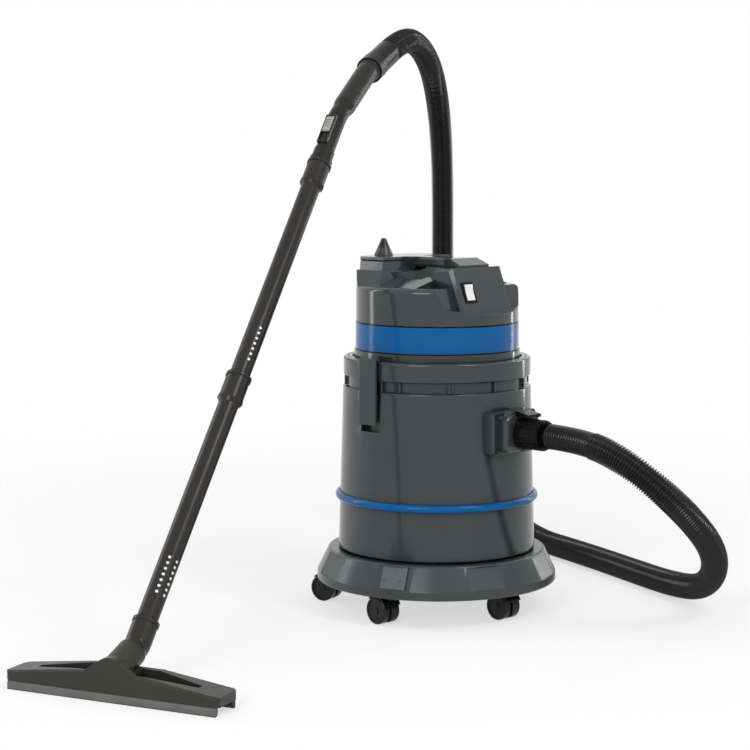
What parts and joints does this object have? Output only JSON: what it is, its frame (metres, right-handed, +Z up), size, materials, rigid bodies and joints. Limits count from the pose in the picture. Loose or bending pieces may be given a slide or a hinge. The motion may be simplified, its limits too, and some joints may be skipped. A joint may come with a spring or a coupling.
{
  "type": "shop vacuum",
  "caption": "Upright wet and dry canister vacuum on a castor ring, with a ribbed hose, a straight wand and a squeegee floor tool.",
  "frame": {"origin": "on the floor, under the canister's axis", "axes": "+Z up, the hose inlet and the switch panel face -Y, +X to the right of that front"},
  "size_m": [1.4287, 0.9506, 1.0802],
  "materials": {
    "housing": "satin injection-moulded plastic, dark slate grey",
    "blue_trim": "glossy blue plastic",
    "black_plastic": "semi-gloss black plastic",
    "rubber_seal": "matt black rubber",
    "steel": "zinc-plated steel",
    "white_rocker": "glossy white plastic",
    "motor_metal": "plain aluminium",
    "motor_core": "varnished laminations and copper windings",
    "filter_cloth": "pleated filter paper",
    "float_plastic": "hollow moulded float",
    "hose_rubber": "black ribbed flexible plastic",
    "wand_plastic": "satin dark warm grey plastic",
    "slide_grey": "light grey plastic",
    "front_lip_grey": "grey rubber squeegee strip",
    "rear_lip_black": "black rubber squeegee strip",
    "castor_black": "black nylon"
  },
  "bodies": {
    "canister": {"trolley_base": "housing", "tank": "housing", "bumper_ring": "blue_trim", "latch_pins": "steel", "inlet_housing": "housing", "inlet_seal": "rubber_seal", "inlet_screws": "steel", "inlet_catch_pin": "steel", "inlet_deflector": "black_plastic", "hose_inlet_cuff": "black_plastic", "hose": "hose_rubber", "hose_handle_cuff": "black_plastic"},
    "head": {"head_base": "housing", "head_seal": "rubber_seal", "head_band": "blue_trim", "head_cover": "housing", "head_screws": "steel", "cord_gland": "black_plastic", "switch_frame": "black_plastic", "motor_casing": "motor_metal", "motor_stator": "motor_core", "motor_bearings": "steel", "filter_cage": "black_plastic", "filter_cartridge": "filter_cloth"},
    "rotor": {"motor_armature": "motor_core", "motor_shaft": "steel", "motor_impeller": "motor_metal"},
    "float": {"float_ball": "float_plastic"},
    "rocker": {"switch_rocker": "white_rocker"},
    "left_latch": {"latch_left": "housing"},
    "right_latch": {"latch_right": "housing"},
    "catch": {"inlet_catch": "black_plastic"},
    "wand": {"hand_grip": "wand_plastic", "upper_tube": "wand_plastic", "lower_tube": "wand_plastic", "floor_tool_elbow": "wand_plastic"},
    "slide": {"suction_slide": "slide_grey"},
    "floor_tool": {"floor_tool_body": "wand_plastic", "floor_tool_front_lip": "front_lip_grey", "floor_tool_rear_lip": "rear_lip_black"},
    "castor_1": {"castor_1_hood": "castor_black", "castor_1_stem": "steel"},
    "castor_1_roll": {"castor_1_wheels": "castor_black"},
    "castor_2": {"castor_2_hood": "castor_black", "castor_2_stem": "steel"},
    "castor_2_roll": {"castor_2_wheels": "castor_black"},
    "castor_3": {"castor_3_hood": "castor_black", "castor_3_stem": "steel"},
    "castor_3_roll": {"castor_3_wheels": "castor_black"},
    "castor_4": {"castor_4_hood": "castor_black", "castor_4_stem": "steel"},
    "castor_4_roll": {"castor_4_wheels": "castor_black"},
    "castor_5": {"castor_5_hood": "castor_black", "castor_5_stem": "steel"},
    "castor_5_roll": {"castor_5_wheels": "castor_black"}
  },
  "joints": [
    {"name": "head_lift", "type": "slide", "parent": "canister", "child": "head", "axis": [0, 0, 1], "range_m": [0, 0.26]},
    {"name": "rotor_spin", "type": "hinge", "parent": "head", "child": "rotor", "pos_m": [0, 0, 0.53], "axis": [0, 0, 1], "continuous": true},
    {"name": "float_rise", "type": "slide", "parent": "head", "child": "float", "axis": [0, 0, 1], "range_m": [0, 0.11]},
    {"name": "switch_rock", "type": "hinge", "parent": "head", "child": "rocker", "pos_m": [-0.044, -0.11775, 0.588], "axis": [1, 0, 0], "range_deg": [-10, 0]},
    {"name": "left_latch_swing", "type": "hinge", "parent": "canister", "child": "left_latch", "pos_m": [-0.17, 0, 0.4], "axis": [0, -1, 0], "range_deg": [0, 10]},
    {"name": "right_latch_swing", "type": "hinge", "parent": "canister", "child": "right_latch", "pos_m": [0.17, 0, 0.4], "axis": [0, 1, 0], "range_deg": [0, 10]},
    {"name": "catch_lift", "type": "hinge", "parent": "canister", "child": "catch", "pos_m": [0, -0.198, 0.3785], "axis": [-1, 0, 0], "range_deg": [0, 12], "stiffness_Nm_per_rad": 0.05},
    {"name": "handle_swivel", "type": "hinge", "parent": "canister", "child": "wand", "pos_m": [0.05418, 0.21541, 1.00078], "axis": [0.8601, 0.308, 0.4067], "continuous": true},
    {"name": "suction_slide_move", "type": "slide", "parent": "wand", "child": "slide", "axis": [-0.6102, -0.2185, -0.7615], "range_m": [0, 0.018]},
    {"name": "floor_tool_swivel", "type": "hinge", "parent": "wand", "child": "floor_tool", "pos_m": [-0.78117, -0.08369, 0.06216], "axis": [0.8847, 0.3168, 0.342], "range_deg": [-45, 45]},
    {"name": "castor_1_swivel", "type": "hinge", "parent": "canister", "child": "castor_1", "pos_m": [0, -0.187, 0.05], "axis": [0, 0, 1], "continuous": true},
    {"name": "castor_1_spin", "type": "hinge", "parent": "castor_1", "child": "castor_1_roll", "pos_m": [0.00077, -0.16501, 0.0245], "axis": [-0.9994, 0.0349, 0], "continuous": true},
    {"name": "castor_2_swivel", "type": "hinge", "parent": "canister", "child": "castor_2", "pos_m": [0.17785, -0.05779, 0.05], "axis": [0, 0, 1], "continuous": true},
    {"name": "castor_2_spin", "type": "hinge", "parent": "castor_2", "child": "castor_2_roll", "pos_m": [0.18537, -0.03711, 0.0245], "axis": [-0.9397, 0.342, 0], "continuous": true},
    {"name": "castor_3_swivel", "type": "hinge", "parent": "canister", "child": "castor_3", "pos_m": [0.10992, 0.15129, 0.05], "axis": [0, 0, 1], "continuous": true},
    {"name": "castor_3_spin", "type": "hinge", "parent": "castor_3", "child": "castor_3_roll", "pos_m": [0.11374, 0.17295, 0.0245], "axis": [-0.9848, 0.1736, 0], "continuous": true},
    {"name": "castor_4_swivel", "type": "hinge", "parent": "canister", "child": "castor_4", "pos_m": [-0.10992, 0.15129, 0.05], "axis": [0, 0, 1], "continuous": true},
    {"name": "castor_4_spin", "type": "hinge", "parent": "castor_4", "child": "castor_4_roll", "pos_m": [-0.11561, 0.17254, 0.0245], "axis": [-0.9659, -0.2588, 0], "continuous": true},
    {"name": "castor_5_swivel", "type": "hinge", "parent": "canister", "child": "castor_5", "pos_m": [-0.17785, -0.05779, 0.05], "axis": [0, 0, 1], "continuous": true},
    {"name": "castor_5_spin", "type": "hinge", "parent": "castor_5", "child": "castor_5_roll", "pos_m": [-0.1767, -0.03582, 0.0245], "axis": [-0.9986, 0.0523, 0], "continuous": true}
  ]
}
